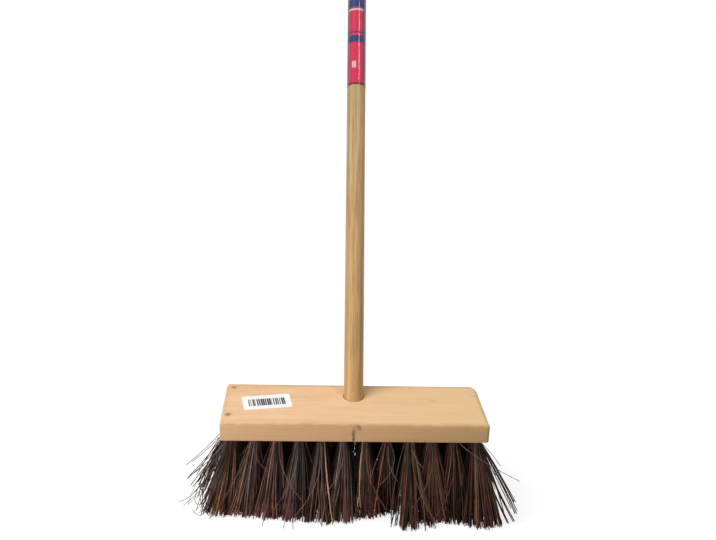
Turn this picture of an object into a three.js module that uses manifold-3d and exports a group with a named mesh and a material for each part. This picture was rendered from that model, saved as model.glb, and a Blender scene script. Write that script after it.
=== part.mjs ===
// Wide floor broom: a wooden stock drilled for tufts of stiff palm fibre, and a straight wooden handle
// driven into a slanted socket and pinned by a nail. Each tuft is folded over a wire staple in its hole.
// Units are millimetres. +Z is up, +X runs along the stock and the handle leans back towards +Y.
// The origin lies on the floor, below the middle of the stock.

import * as THREE from "three";
import { mergeVertices } from "three/addons/utils/BufferGeometryUtils.js";
import Module from "manifold-3d";

const wasm = await Module();
wasm.setup();

// Stock
const stockLength = 330;
const stockDepth = 107;
const stockThickness = 24;
const cornerRadius = 4;
const sandedCornerRadius = 10; // the rear right corner is sanded rounder than the rest
const topEdgeRadius = 2.2;

// Handle
const handleDiameter = 25.4;
const handleLength = 1372;
const handleTilt = THREE.MathUtils.degToRad(30.7); // from the upright, towards +Y
const handleSetbackShare = 0.19; // of the stock's depth, from its middle to where the axis meets the top
const handleEndRecessHeight = 1; // how far the handle's low corner stays above the stock's underside
const handleEndChamferWidth = 1.5;
const handleDomeHeight = 10;

// Tufts
const fibreLength = 108; // from the stock's underside to the floor
const tuftRows = 4;
const tuftsInFrontRow = 12; // the rows behind it hold one fewer and the same number in turn
const tuftEndMarginWidth = 15; // from the stock's end to the middle of the first tuft
const tuftHoleDiameter = 9;
const tuftHoleDepth = 13;
const strandsPerTuft = 11;
const strandWidth = 1.6;
const strandTipWidth = 1.3;
const tuftRootShare = 0.8; // of the hole's radius that the strands fill where they leave it
const tuftTipShare = 0.86; // of the room between neighbouring tufts that their tips fill
const flareAlong = 0.22; // how far the tips lean out, as a share of the tuft's distance from the middle
const flareAcross = 0.55;
const raggedTipHeight = 3; // the shortest strands end this far above the floor
const trimmedShare = 0.4; // of the strands that reach the floor
const sliceThickness = 2.5; // the strip of the stock's underside that carries a row of tufts
const pocketRimWidth = 3.5; // the solid edge of the stock round those strips
const socketWallThickness = 1.5; // least wood between a tuft hole and the handle's socket

// Wire and nail
const stapleWireWidth = 1.2;
const stapleBiteDepth = 5.5; // how far the legs go into the wood past the end of the hole
const stapleWallGap = 0.8; // from the wall of the hole to the leg
const nailDiameter = 2.65;
const nailLength = 45;
const nailHeadDiameter = 6;
const nailHeadThickness = 1.2;
const nailPointLength = 4;

// Labels
const handleLabelStart = 426; // along the handle, from the stock's top face
const handleLabelLength = 190;
const filmThickness = 0.3;
const stickerWidth = 61;
const stickerHeight = 35;
const stickerThickness = 0.3;
const stickerCornerRadius = 2;
const stickerEndDistance = 54.5; // from the stock's left end to the sticker's middle
const stickerSetbackDepth = 2.4;
const stickerTurn = THREE.MathUtils.degToRad(9.5);

// Fits
const seatGap = 0.3; // clearance between pieces that touch on the real broom

// Number of flat sides on round pieces
const handleSides = 32;
const holeSides = 8;
const strandSides = 3;
const cornerSteps = 4;
const edgeSteps = 3;
const domeSteps = 6;
const bendSteps = 2; // flats in a quarter turn of a staple or a tuft's fold

// Sizes that follow from those above
const undersideZ = fibreLength;
const topZ = undersideZ + stockThickness;
const sliceTopZ = undersideZ + sliceThickness;
const holeTopZ = undersideZ + tuftHoleDepth;
const handleRadius = handleDiameter / 2;
const handleSetback = handleSetbackShare * stockDepth;
const socketRadius = handleRadius + seatGap;
const handleEntry =
  (stockThickness - handleEndRecessHeight - handleRadius * Math.sin(handleTilt)) / Math.cos(handleTilt);
const tuftHoleRadius = tuftHoleDiameter / 2;
const rowPitch = (stockDepth - 2 * pocketRimWidth) / tuftRows;
const tuftPitch = (stockLength - 2 * tuftEndMarginWidth) / (tuftsInFrontRow - 1);
const tuftRootReach = tuftHoleRadius * tuftRootShare;
const tuftTipRoom = Math.min(tuftPitch * (1 + flareAlong), rowPitch * (1 + flareAcross));
const tuftTipReach = (tuftTipShare * tuftTipRoom) / 2;
const stapleLegX = tuftHoleRadius - stapleWallGap - stapleWireWidth / 2;
const foldWidth = 2 * (stapleLegX - stapleWireWidth / 2 - seatGap);
const foldEye = stapleWireWidth / 2 + seatGap;
const foldReach = Math.sqrt(
  (tuftHoleRadius * Math.cos(Math.PI / holeSides) - seatGap) ** 2 - (foldWidth / 2) ** 2,
);
const crownZ = holeTopZ - seatGap - foldReach;
const nailZ = (holeTopZ + topZ) / 2; // in the solid wood above the tuft holes
const rowNames = ["front", "mid_front", "mid_back", "back"];

const woodOfStock = new THREE.MeshStandardMaterial({ color: 0xe3b985, roughness: 0.6 });
const woodOfHandle = new THREE.MeshStandardMaterial({ color: 0xc6a06a, roughness: 0.5 });
const palmFibre = new THREE.MeshStandardMaterial({ color: 0x3a211a, roughness: 0.55 });
const steel = new THREE.MeshStandardMaterial({ color: 0x9a9a98, roughness: 0.35, metalness: 1 });
const redFilm = new THREE.MeshStandardMaterial({ color: 0xc8324e, roughness: 0.3 });
const whitePaper = new THREE.MeshStandardMaterial({ color: 0xf1f0ec, roughness: 0.7 });

// A closed geometry as a solid that can be joined and cut.
function solidOf(geometry) {
  const bare = geometry.clone();
  bare.deleteAttribute("normal");
  bare.deleteAttribute("uv");
  const merged = mergeVertices(bare);
  return new wasm.Manifold(
    new wasm.Mesh({
      numProp: 3,
      vertProperties: new Float32Array(merged.getAttribute("position").array),
      triVerts: new Uint32Array(merged.index.array),
    }),
  );
}

// A joined or cut solid as a geometry again.
function geometryOf(solid) {
  const mesh = solid.getMesh();
  const geometry = new THREE.BufferGeometry();
  geometry.setAttribute("position", new THREE.BufferAttribute(mesh.vertProperties, 3));
  geometry.setIndex(new THREE.BufferAttribute(mesh.triVerts, 1));
  geometry.computeVertexNormals();
  return geometry;
}

// A closed skin through rings of points, which run anticlockwise seen from above, lowest ring first.
function loft(rings) {
  const count = rings[0].length;
  const index = [];
  for (let r = 0; r + 1 < rings.length; r++) {
    for (let i = 0; i < count; i++) {
      const a = r * count + i;
      const b = r * count + ((i + 1) % count);
      index.push(a, b, b + count, a, b + count, a + count);
    }
  }
  const last = (rings.length - 1) * count;
  for (let i = 1; i + 1 < count; i++) {
    index.push(0, i + 1, i);
    index.push(last, last + i, last + i + 1);
  }
  const geometry = new THREE.BufferGeometry().setFromPoints(rings.flat());
  geometry.setIndex(index);
  return geometry;
}

// An upright cylinder between two heights, with flat sides facing X and Y where sides is 4.
function upright(radius, low, high, sides) {
  const geometry = new THREE.CylinderGeometry(radius, radius, high - low, sides);
  geometry.rotateX(Math.PI / 2);
  geometry.rotateZ(Math.PI / sides);
  return geometry.translate(0, 0, (low + high) / 2);
}

// A box given by its middle, in X and Y, its sides and the two heights that it spans.
function block(x, y, length, depth, low, high) {
  return new THREE.BoxGeometry(length, depth, high - low).translate(x, y, (low + high) / 2);
}

// A turned piece: the outline is radius and height, from the axis at the foot to the axis at the top.
function turned(outline, sides) {
  return new THREE.LatheGeometry(outline, sides).rotateX(Math.PI / 2);
}

// The handle's own frame, with its origin where the axis meets the stock's top face.
const handleFrame = new THREE.Matrix4()
  .makeTranslation(0, handleSetback, topZ)
  .multiply(new THREE.Matrix4().makeRotationX(-handleTilt));

// The slanted hole that the handle is driven into, longer than the stock is thick.
function socketCutter() {
  const reach = stockThickness + handleDiameter;
  return solidOf(upright(socketRadius, -reach, reach, handleSides).applyMatrix4(handleFrame));
}

// The nail lies along Y, with its head flush with the stock's back face. grow widens it into its hole.
function nailGeometry(grow) {
  const shank = nailDiameter / 2 + grow;
  const head = nailHeadDiameter / 2 + grow;
  const shoulder = nailLength - nailHeadThickness - grow;
  const outline = [
    new THREE.Vector2(0, -grow),
    new THREE.Vector2(shank, nailPointLength - grow),
    new THREE.Vector2(shank, shoulder),
    new THREE.Vector2(head, shoulder),
    new THREE.Vector2(head, nailLength + grow),
    new THREE.Vector2(0, nailLength + grow),
  ];
  const nail = turned(outline, holeSides).rotateX(-Math.PI / 2);
  return nail.translate(0, stockDepth / 2 - nailLength, nailZ);
}

// Where a tuft stands: the holes that would break into the handle's socket are left out.
function meetsSocket(x, y) {
  const slope = Math.tan(handleTilt);
  const lowY = handleSetback - stockThickness * slope;
  const highY = handleSetback - (topZ - holeTopZ) * slope;
  const past = y - THREE.MathUtils.clamp(y, lowY, highY);
  const nearX = socketRadius + tuftHoleRadius + socketWallThickness;
  const nearY = socketRadius / Math.cos(handleTilt) + tuftHoleRadius + socketWallThickness;
  return (x / nearX) ** 2 + (past / nearY) ** 2 < 1;
}

function tuftsOfRow(row) {
  const y = (row - (tuftRows - 1) / 2) * rowPitch;
  const count = tuftsInFrontRow - (row % 2);
  const spots = [];
  for (let i = 0; i < count; i++) {
    const x = (i - (count - 1) / 2) * tuftPitch;
    if (!meetsSocket(x, y)) spots.push({ x, y });
  }
  return spots;
}

const rows = Array.from({ length: tuftRows }, (_, row) => tuftsOfRow(row));

// One ring of the stock's outline, drawn in from its sides by inset.
function stockRing(inset, z) {
  const corners = [
    { x: 1, y: -1, radius: cornerRadius, turn: -Math.PI / 2 },
    { x: 1, y: 1, radius: sandedCornerRadius, turn: 0 },
    { x: -1, y: 1, radius: cornerRadius, turn: Math.PI / 2 },
    { x: -1, y: -1, radius: cornerRadius, turn: Math.PI },
  ];
  return corners.flatMap(({ x, y, radius, turn }) => {
    const middleX = x * (stockLength / 2 - radius);
    const middleY = y * (stockDepth / 2 - radius);
    return Array.from({ length: cornerSteps + 1 }, (_, i) => {
      const angle = turn + (i / cornerSteps) * (Math.PI / 2);
      const reach = radius - inset;
      return new THREE.Vector3(
        middleX + reach * Math.cos(angle),
        middleY + reach * Math.sin(angle),
        z,
      );
    });
  });
}

// The drilled block: a pocket below for the strips that carry the tufts, a blind hole for each tuft with
// two pilot holes for its staple, the handle's slanted socket and the nail's hole.
function stockGeometry() {
  const rings = [stockRing(0, undersideZ)];
  for (let i = 0; i <= edgeSteps; i++) {
    const angle = (i / edgeSteps) * (Math.PI / 2);
    const inset = topEdgeRadius * (1 - Math.cos(angle));
    rings.push(stockRing(inset, topZ - topEdgeRadius * (1 - Math.sin(angle))));
  }
  const pocketLength = stockLength - 2 * pocketRimWidth;
  const pocketDepth = stockDepth - 2 * pocketRimWidth;
  const belowZ = undersideZ - seatGap;
  const cutters = [
    solidOf(block(0, 0, pocketLength, pocketDepth, belowZ, sliceTopZ)),
    socketCutter(),
    solidOf(nailGeometry(seatGap)),
  ];
  const pilotSide = stapleWireWidth + 2 * seatGap;
  const pilotTopZ = holeTopZ + stapleBiteDepth + seatGap;
  for (const { x, y } of rows.flat()) {
    cutters.push(solidOf(upright(tuftHoleRadius, belowZ, holeTopZ, holeSides).translate(x, y, 0)));
    for (const side of [-1, 1]) {
      const legX = x + side * stapleLegX;
      cutters.push(solidOf(block(legX, y, pilotSide, pilotSide, crownZ, pilotTopZ)));
    }
  }
  return geometryOf(solidOf(loft(rings)).subtract(wasm.Manifold.union(cutters)));
}

// The handle in its own frame: chamfered at the foot, domed at the top, with the nail's hole.
function handleGeometry() {
  const foot = -handleEntry;
  const top = handleLength - handleEntry;
  const outline = [
    new THREE.Vector2(0, foot),
    new THREE.Vector2(handleRadius - handleEndChamferWidth, foot),
    new THREE.Vector2(handleRadius, foot + handleEndChamferWidth),
  ];
  for (let i = 0; i < domeSteps; i++) {
    const angle = (i / domeSteps) * (Math.PI / 2);
    const height = top - handleDomeHeight * (1 - Math.sin(angle));
    outline.push(new THREE.Vector2(handleRadius * Math.cos(angle), height));
  }
  outline.push(new THREE.Vector2(0, top));
  const nailHole = nailGeometry(seatGap).applyMatrix4(handleFrame.clone().invert());
  return geometryOf(solidOf(turned(outline, handleSides)).subtract(solidOf(nailHole)));
}

// The printed film round the handle, as a thin sleeve in the handle's frame.
function filmGeometry() {
  const inner = handleRadius + seatGap;
  const outer = inner + filmThickness;
  const end = handleLabelStart + handleLabelLength;
  const outline = [
    new THREE.Vector2(inner, handleLabelStart),
    new THREE.Vector2(outer, handleLabelStart),
    new THREE.Vector2(outer, end),
    new THREE.Vector2(inner, end),
    new THREE.Vector2(inner, handleLabelStart),
  ];
  return turned(outline, handleSides);
}

// The paper sticker, flat on the stock, with rounded corners.
function stickerGeometry() {
  const w = stickerWidth / 2;
  const h = stickerHeight / 2;
  const r = stickerCornerRadius;
  const shape = new THREE.Shape();
  shape.absarc(w - r, h - r, r, 0, Math.PI / 2);
  shape.absarc(r - w, h - r, r, Math.PI / 2, Math.PI);
  shape.absarc(r - w, r - h, r, Math.PI, 1.5 * Math.PI);
  shape.absarc(w - r, r - h, r, 1.5 * Math.PI, 2 * Math.PI);
  const options = { depth: stickerThickness, bevelEnabled: false, curveSegments: cornerSteps / 2 };
  return new THREE.ExtrudeGeometry(shape, options);
}

// The root of a tuft: its strands fold over the staple's crown, as a strap with a round eye.
function foldGeometry() {
  const rootZ = sliceTopZ - sliceThickness / 2;
  const shape = new THREE.Shape();
  shape.moveTo(foldReach, rootZ);
  shape.lineTo(foldReach, sliceTopZ);
  shape.absarc(0, crownZ, foldReach, 0, Math.PI);
  shape.lineTo(-foldReach, sliceTopZ);
  shape.lineTo(-foldReach, rootZ);
  shape.lineTo(-foldEye, rootZ);
  shape.lineTo(-foldEye, sliceTopZ);
  shape.absarc(0, crownZ, foldEye, Math.PI, 0, true);
  shape.lineTo(foldEye, sliceTopZ);
  shape.lineTo(foldEye, rootZ);
  const options = { depth: foldWidth, bevelEnabled: false, curveSegments: bendSteps };
  const strap = new THREE.ExtrudeGeometry(shape, options).translate(0, 0, -foldWidth / 2);
  return strap.rotateX(Math.PI / 2).rotateZ(Math.PI / 2);
}

// A staple of square wire: the crown lies in the tuft's fold and the pointed legs go up into the wood.
function stapleGeometry() {
  const outer = stapleLegX + stapleWireWidth / 2;
  const inner = stapleLegX - stapleWireWidth / 2;
  const bend = stapleWireWidth;
  const crownLow = crownZ - stapleWireWidth / 2;
  const crownHigh = crownZ + stapleWireWidth / 2;
  const legTop = holeTopZ + stapleBiteDepth;
  const shoulder = legTop - stapleWireWidth;
  const shape = new THREE.Shape();
  shape.moveTo(outer, shoulder);
  shape.lineTo(stapleLegX, legTop);
  shape.lineTo(inner, shoulder);
  shape.lineTo(inner, crownHigh);
  shape.lineTo(-inner, crownHigh);
  shape.lineTo(-inner, shoulder);
  shape.lineTo(-stapleLegX, legTop);
  shape.lineTo(-outer, shoulder);
  shape.absarc(bend - outer, crownLow + bend, bend, Math.PI, 1.5 * Math.PI);
  shape.absarc(outer - bend, crownLow + bend, bend, 1.5 * Math.PI, 2 * Math.PI);
  const options = { depth: stapleWireWidth, bevelEnabled: false, curveSegments: bendSteps / 2 };
  const wire = new THREE.ExtrudeGeometry(shape, options).translate(0, 0, -stapleWireWidth / 2);
  return wire.rotateX(Math.PI / 2);
}

// A repeatable number from 0 to 1 for item n, spread evenly over many items by the golden section.
function scatter(n) {
  return (n * (Math.sqrt(5) - 1) / 2) % 1;
}

// Strand n of a tuft at (x, y). It starts inside the strip and ends flat at or just above the floor.
// The tufts lean out from the middle of the broom and their strands spread from the middle of the tuft.
function strandGeometry(x, y, n, trim) {
  const turn = n * Math.PI * (3 - Math.sqrt(5));
  const share = Math.sqrt((n + 0.5) / strandsPerTuft);
  const tipZ = raggedTipHeight * Math.max(0, trim - trimmedShare) / (1 - trimmedShare);
  const ringAt = (z) => {
    const fall = Math.max(0, 1 - z / undersideZ);
    const reach = share * THREE.MathUtils.lerp(tuftRootReach, tuftTipReach, fall);
    const middleX = x * (1 + flareAlong * fall) + reach * Math.cos(turn);
    const middleY = y * (1 + flareAcross * fall) + reach * Math.sin(turn);
    const radius = THREE.MathUtils.lerp(strandWidth, strandTipWidth, fall) / 2;
    return Array.from({ length: strandSides }, (_, i) => {
      const angle = turn + (i / strandSides) * 2 * Math.PI;
      return new THREE.Vector3(
        middleX + radius * Math.cos(angle),
        middleY + radius * Math.sin(angle),
        z,
      );
    });
  };
  return loft([ringAt(tipZ), ringAt(undersideZ), ringAt(undersideZ + sliceThickness / 2)]);
}

// A row of tufts on its strip of the stock's underside.
function tuftRowGeometry(row) {
  const stripLength = stockLength - 2 * pocketRimWidth - 2 * seatGap;
  const stripDepth = rowPitch - 2 * seatGap;
  const y = (row - (tuftRows - 1) / 2) * rowPitch;
  const strip = solidOf(block(0, y, stripLength, stripDepth, undersideZ, sliceTopZ));
  const pieces = [strip.subtract(socketCutter())];
  rows[row].forEach((spot, tuft) => {
    pieces.push(solidOf(foldGeometry().translate(spot.x, spot.y, 0)));
    for (let n = 0; n < strandsPerTuft; n++) {
      pieces.push(solidOf(strandGeometry(spot.x, spot.y, n, scatter(strandsPerTuft * tuft + n))));
    }
  });
  return geometryOf(wasm.Manifold.union(pieces));
}

function named(name, geometry, material) {
  const mesh = new THREE.Mesh(geometry, material);
  mesh.name = name;
  return mesh;
}

const broom = new THREE.Group();

broom.add(named("stock", stockGeometry(), woodOfStock));
broom.add(named("handle_nail", nailGeometry(0), steel));

const handleGroup = new THREE.Group();
handleGroup.applyMatrix4(handleFrame);
handleGroup.add(named("handle", handleGeometry(), woodOfHandle));
handleGroup.add(named("handle_label", filmGeometry(), redFilm));
broom.add(handleGroup);

const sticker = named("stock_sticker", stickerGeometry(), whitePaper);
sticker.position.set(stickerEndDistance - stockLength / 2, stickerSetbackDepth, topZ);
sticker.rotation.z = stickerTurn;
broom.add(sticker);

rows.forEach((spots, row) => {
  const place = rowNames[row] ?? `row_${row + 1}`;
  broom.add(named(`tufts_${place}`, tuftRowGeometry(row), palmFibre));
  spots.forEach(({ x, y }, i) => {
    const staple = named(`staple_${place}_${String(i + 1).padStart(2, "0")}`, stapleGeometry(), steel);
    staple.position.set(x, y, 0);
    broom.add(staple);
  });
});

export default broom;
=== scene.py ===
# %% [markdown]
# A wide floor broom
#
# The broom is a flat wooden block, called the stock, with a round handle slanting out of it and stiff palm
# fibres below. The CAD model already says where every piece is. This lesson loads that model as a fixed
# frame and gives each piece the finer shape and the finish that a photograph shows. Lengths are in metres,
# +X runs along the stock, the handle leans back towards +Y and +Z is up.

# %% Load the frame
import math

import bmesh
import bpy
import numpy as np
from mathutils import Matrix, Vector, noise


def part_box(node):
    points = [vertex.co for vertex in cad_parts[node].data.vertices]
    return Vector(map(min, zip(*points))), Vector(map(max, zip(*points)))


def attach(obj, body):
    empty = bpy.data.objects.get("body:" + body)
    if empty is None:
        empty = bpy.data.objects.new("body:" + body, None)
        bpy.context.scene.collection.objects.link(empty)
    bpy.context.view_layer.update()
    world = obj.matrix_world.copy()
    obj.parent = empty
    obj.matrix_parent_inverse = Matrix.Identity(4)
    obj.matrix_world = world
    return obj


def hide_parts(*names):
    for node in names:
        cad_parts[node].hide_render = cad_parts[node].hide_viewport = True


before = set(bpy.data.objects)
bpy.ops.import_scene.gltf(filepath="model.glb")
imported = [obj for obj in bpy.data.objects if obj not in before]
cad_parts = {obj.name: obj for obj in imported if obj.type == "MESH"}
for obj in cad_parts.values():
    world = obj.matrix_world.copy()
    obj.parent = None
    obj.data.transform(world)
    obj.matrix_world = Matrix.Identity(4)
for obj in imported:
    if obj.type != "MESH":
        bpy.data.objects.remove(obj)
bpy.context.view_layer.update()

MM = 0.001

# %% [markdown]
# Driving sizes
#
# A dressed piece has to lie where its CAD node lies, so the main sizes are read from the nodes' boxes. Only
# what a box can't tell, such as the lean of the handle, is written here.

# %% Sizes read from the frame
HANDLE_TILT = math.radians(30.7)
SETBACK_SHARE = 0.19

stock_low, stock_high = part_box("stock")
HALF_LENGTH, HALF_DEPTH = stock_high.x, stock_high.y
UNDERSIDE, TOP = stock_low.z, stock_high.z
handle_low, handle_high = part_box("handle")
HANDLE_RADIUS = handle_high.x
HANDLE_SETBACK = SETBACK_SHARE * 2 * HALF_DEPTH
TILT_SINE, TILT_COSINE = math.sin(HANDLE_TILT), math.cos(HANDLE_TILT)
print("stock", 2 * HALF_LENGTH, 2 * HALF_DEPTH, TOP - UNDERSIDE, "handle radius", HANDLE_RADIUS)

# %% [markdown]
# Camera
#
# The view comes from a camera that was fitted to the straight edges of the stock and the handle: it stands
# a metre away, half a metre above the stock, looks down a little and is turned slightly on its side. Three
# plain rotations keep those angles readable, where one matrix of numbers would hide them. The Standard view
# shows colours as they are, without a film's look.

# %% Camera
CAMERA_PLACE = Vector((-0.0618, -0.9839, TOP + 0.5178))
CAMERA_YAW, CAMERA_PITCH, CAMERA_ROLL = math.radians(3.48), math.radians(18.93), math.radians(2.28)
CAMERA_LENS, SENSOR_WIDTH = 43.56, 36.0


def shown(name, data):
    """Puts a new object into the scene."""
    made = bpy.data.objects.new(name, data)
    bpy.context.scene.collection.objects.link(made)
    return made


lens = bpy.data.cameras.new("camera")
lens.lens, lens.sensor_width = CAMERA_LENS, SENSOR_WIDTH
lens.sensor_fit = "HORIZONTAL"
camera = shown("camera", lens)
turned = Matrix.Rotation(-CAMERA_YAW, 4, "Z")
turned @= Matrix.Rotation(math.pi / 2 - CAMERA_PITCH, 4, "X")
turned @= Matrix.Rotation(CAMERA_ROLL, 4, "Z")
camera.matrix_world = Matrix.Translation(CAMERA_PLACE) @ turned
bpy.context.scene.camera = camera
bpy.context.scene.view_settings.view_transform = "Standard"
print("camera at", [round(v, 3) for v in CAMERA_PLACE])

# %% [markdown]
# Building materials in code
#
# A material is a tree of nodes. It could be drawn by hand in the shader editor, but then it couldn't be
# read here. These helpers add a node or a step of arithmetic in one line each, so that a tree reads from
# top to bottom like a recipe. A socket knows its own tree, so a step that takes a socket needn't be told
# where to go.


# %% Node helpers
def fill(node, inputs):
    """Sets inputs of a node. Each is a plain value, or the output socket of another node."""
    for key, value in inputs.items():
        if isinstance(value, bpy.types.NodeSocket):
            node.id_data.links.new(value, node.inputs[key])
        else:
            node.inputs[key].default_value = value
    return node


def put(tree, kind, inputs=None, **settings):
    """Adds a shader node with its settings and inputs."""
    made = tree.nodes.new("ShaderNode" + kind)
    for name, value in settings.items():
        setattr(made, name, value)
    return fill(made, inputs or {})


def sums(operation, first, second=0.0):
    """One step of arithmetic. At least one of the values is a socket."""
    socket = first if isinstance(first, bpy.types.NodeSocket) else second
    return put(socket.id_data, "Math", {0: first, 1: second}, operation=operation).outputs[0]


def times(first, *others):
    """The product of values."""
    for other in others:
        first = sums("MULTIPLY", first, other)
    return first


def span(value, low, high, to_low=0.0, to_high=1.0):
    """Maps low..high softly to to_low..to_high and holds the ends."""
    ranged = {0: value, 1: low, 2: high, 3: to_low, 4: to_high}
    return put(value.id_data, "MapRange", ranged, interpolation_type="SMOOTHSTEP").outputs[0]


print("node helpers ready")

# %% [markdown]
# Floor
#
# Product pictures of this kind show the object on plain white. A white floor would turn grey away from the
# lamps. This one is a matt grey sheet with a glow that only the camera and reflections see, so it looks
# white and still takes the broom's shadow.

# %% Floor
FLOOR_HALF = 30.0
FLOOR_TINT = 0.36
FLOOR_GLOW = 0.72
WHITE_LIGHT = (1, 1, 1, 1)


def empty_tree(owner):
    """The cleared node tree of a material or world."""
    owner.use_nodes = True
    owner.node_tree.nodes.clear()
    return owner.node_tree


def seen_directly(tree):
    """1 for rays from the camera, mirrors and glass, which show the white stage."""
    path = put(tree, "LightPath").outputs
    seen = sums("MAXIMUM", path["Is Camera Ray"], path["Is Glossy Ray"])
    return sums("MAXIMUM", seen, path["Is Transmission Ray"])


floor_mesh = bpy.data.meshes.new("floor")
floor_corners = [(x * FLOOR_HALF, y * FLOOR_HALF, 0) for x, y in ((-1, -1), (1, -1), (1, 1), (-1, 1))]
floor_mesh.from_pydata(floor_corners, [], [(0, 1, 2, 3)])
floor = shown("floor", floor_mesh)
floor_paper = bpy.data.materials.new("floor_paper")
tree = empty_tree(floor_paper)
matt = put(tree, "BsdfDiffuse", {"Color": (FLOOR_TINT, FLOOR_TINT, FLOOR_TINT, 1)})
glow = put(tree, "Emission", {"Color": WHITE_LIGHT, "Strength": times(seen_directly(tree), FLOOR_GLOW)})
both = put(tree, "AddShader", {0: matt.outputs[0], 1: glow.outputs[0]})
put(tree, "OutputMaterial", {"Surface": both.outputs[0]})
floor_mesh.materials.append(floor_paper)
print("floor", 2 * FLOOR_HALF, "m wide")

# %% [markdown]
# Light
#
# A broad sun from the upper left gives the bright top face, and the world fills the shadows. A sun was
# chosen for the main light because it doesn't fade across a wide floor. A low square lamp on the left does
# fade, and so it shades the front from left to right. A narrow strip on the right draws the thin line of
# gloss along the handle and its film.

# %% World and lamps
WORLD_FILL = 0.23
SUN_STRENGTH, SUN_ANGLE = 1.94, math.radians(38)
SUN_FROM = Vector((-0.42, -0.05, 0.90))
LAMP_SPREAD = math.radians(70)
LAMPS = {  # where it hangs, what it looks at, width, height, power in watts
    "left_fill": (Vector((-0.56, -0.42, 0.24)), Vector((-0.12, -0.05, 0.09)), 0.3, 0.3, 0.42),
    "right_strip": (Vector((0.62, -0.42, 1.74)), Vector((0, 0.27, 0.55)), 0.09, 1.3, 1.0),
}


def hang(lamp, spot, target):
    """Hangs a lamp at a spot so that it shines at a target."""
    held = shown(lamp.name, lamp)
    held.location = spot
    held.rotation_euler = (spot - target).to_track_quat("Z", "Y").to_euler()


world = bpy.data.worlds.new("studio")
tree = empty_tree(world)
sky_strength = span(seen_directly(tree), 0.0, 1.0, WORLD_FILL, 1.0)
sky = put(tree, "Background", {"Color": WHITE_LIGHT, "Strength": sky_strength})
put(tree, "OutputWorld", {"Surface": sky.outputs[0]})
bpy.context.scene.world = world
sun = bpy.data.lights.new("sun", "SUN")
sun.energy, sun.angle = SUN_STRENGTH, SUN_ANGLE
hang(sun, SUN_FROM, Vector((0, 0, 0)))
for lamp_name, (spot, target, width, height, power) in LAMPS.items():
    lamp = bpy.data.lights.new(lamp_name, "AREA")
    lamp.shape, lamp.spread = "RECTANGLE", LAMP_SPREAD
    lamp.size, lamp.size_y, lamp.energy = width, height, power
    hang(lamp, spot, target)
print("light: world, sun and", len(LAMPS), "lamps")

# %% [markdown]
# Wood grain, shared by the stock and the handle
#
# Timber is a stack of growth rings. Where a plane cuts the rings it shows long arcs, and the cells make
# fine streaks along the grain. A noise alone gives only blotches, so the group measures the distance from a
# pith line, divides it by the ring width and shades each ring from its pale early wood to its dark late
# wood. The grain runs along the X of the vector that goes in. Its effects are kept in a node group with
# named sockets, so that two kinds of wood can use it with their own values.


# %% Helpers for node groups
def vectors(operation, first, second=(0, 0, 0)):
    """One step of arithmetic on vectors."""
    return put(first.id_data, "VectorMath", {0: first, 1: second}, operation=operation).outputs[0]


def length(vector):
    """How long a vector is."""
    return put(vector.id_data, "VectorMath", {0: vector}, operation="LENGTH").outputs["Value"]


def cloud(vector, scale, detail=3.0, roughness=0.5):
    """A soft noise from 0 to 1."""
    inputs = {"Vector": vector, "Scale": scale, "Detail": detail, "Roughness": roughness}
    return put(vector.id_data, "TexNoise", inputs).outputs["Fac"]


def streaky(vector, scales, detail=3.0, roughness=0.5):
    """A soft noise with its own scale along X, Y and Z."""
    return cloud(vectors("MULTIPLY", vector, scales), 1.0, detail, roughness)


def chance(value):
    """A random value from 0 to 1 that changes with each whole step of a value."""
    whole = {"W": sums("FLOOR", value)}
    return put(value.id_data, "TexWhiteNoise", whole, noise_dimensions="1D").outputs["Value"]


def group(name, inputs, outputs):
    """A node group with named sockets: (tree, its input sockets, a function that sets an output)."""
    tree = bpy.data.node_groups.new(name, "ShaderNodeTree")
    for label, value in inputs.items():
        kind = "NodeSocketVector" if isinstance(value, tuple) else "NodeSocketFloat"
        tree.interface.new_socket(label, in_out="INPUT", socket_type=kind).default_value = value
    for label in outputs:
        tree.interface.new_socket(label, in_out="OUTPUT", socket_type="NodeSocketFloat")
    entry = tree.nodes.new("NodeGroupInput")
    leave = tree.nodes.new("NodeGroupOutput")

    def give(label, socket):
        tree.links.new(socket, leave.inputs[label])

    return tree, entry.outputs, give


print("group helpers ready")

# %% Wood grain group
ORIGIN = (0, 0, 0)
GRAIN_STRETCH = (0.3, 1, 1)
DRIFT_SCALE = 11.0
RING_STRETCH = (0.035, 1, 1)
STREAK_SCALES = (5, 420, 420)
CELL_SCALES = (40, 2600, 2600)

grain, given, give = group(
    "wood_grain",
    {"Vector": ORIGIN, "Ring Width": 4 * MM, "Pith": (0, 0, -60 * MM), "Waviness": 6 * MM},
    ("Rings", "Streaks", "Height"),
)
slow = vectors("MULTIPLY", given["Vector"], GRAIN_STRETCH)
drift = put(grain, "TexNoise", {"Vector": slow, "Scale": DRIFT_SCALE, "Detail": 2.0}).outputs["Color"]
drift = vectors("MULTIPLY", vectors("SUBTRACT", drift, (0.5, 0.5, 0.5)), given["Waviness"])
bent = vectors("ADD", given["Vector"], drift)
from_pith = vectors("MULTIPLY", vectors("SUBTRACT", bent, given["Pith"]), RING_STRETCH)
turns = sums("DIVIDE", length(from_pith), given["Ring Width"])
in_ring = sums("FRACT", turns)
late_wood = times(span(in_ring, 0.25, 0.85), span(in_ring, 1.0, 0.88))
give("Rings", times(late_wood, span(chance(turns), 0.0, 1.0, 0.35, 1.0)))
give("Streaks", span(streaky(bent, STREAK_SCALES, detail=5.0, roughness=0.62), 0.3, 0.72))
give("Height", sums("ADD", times(late_wood, 0.5), streaky(bent, CELL_SCALES, roughness=0.6)))
print("group", grain.name, "with", len(grain.nodes), "nodes")

# %% [markdown]
# Handling marks, shared by every finish
#
# Nothing that is made in a workshop is evenly clean. This group gives a broad tone that drifts over the
# piece and a scatter of small specks. Spots could be painted one by one, but noise covers every side of a
# piece. Each material decides how strongly to use them.

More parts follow.
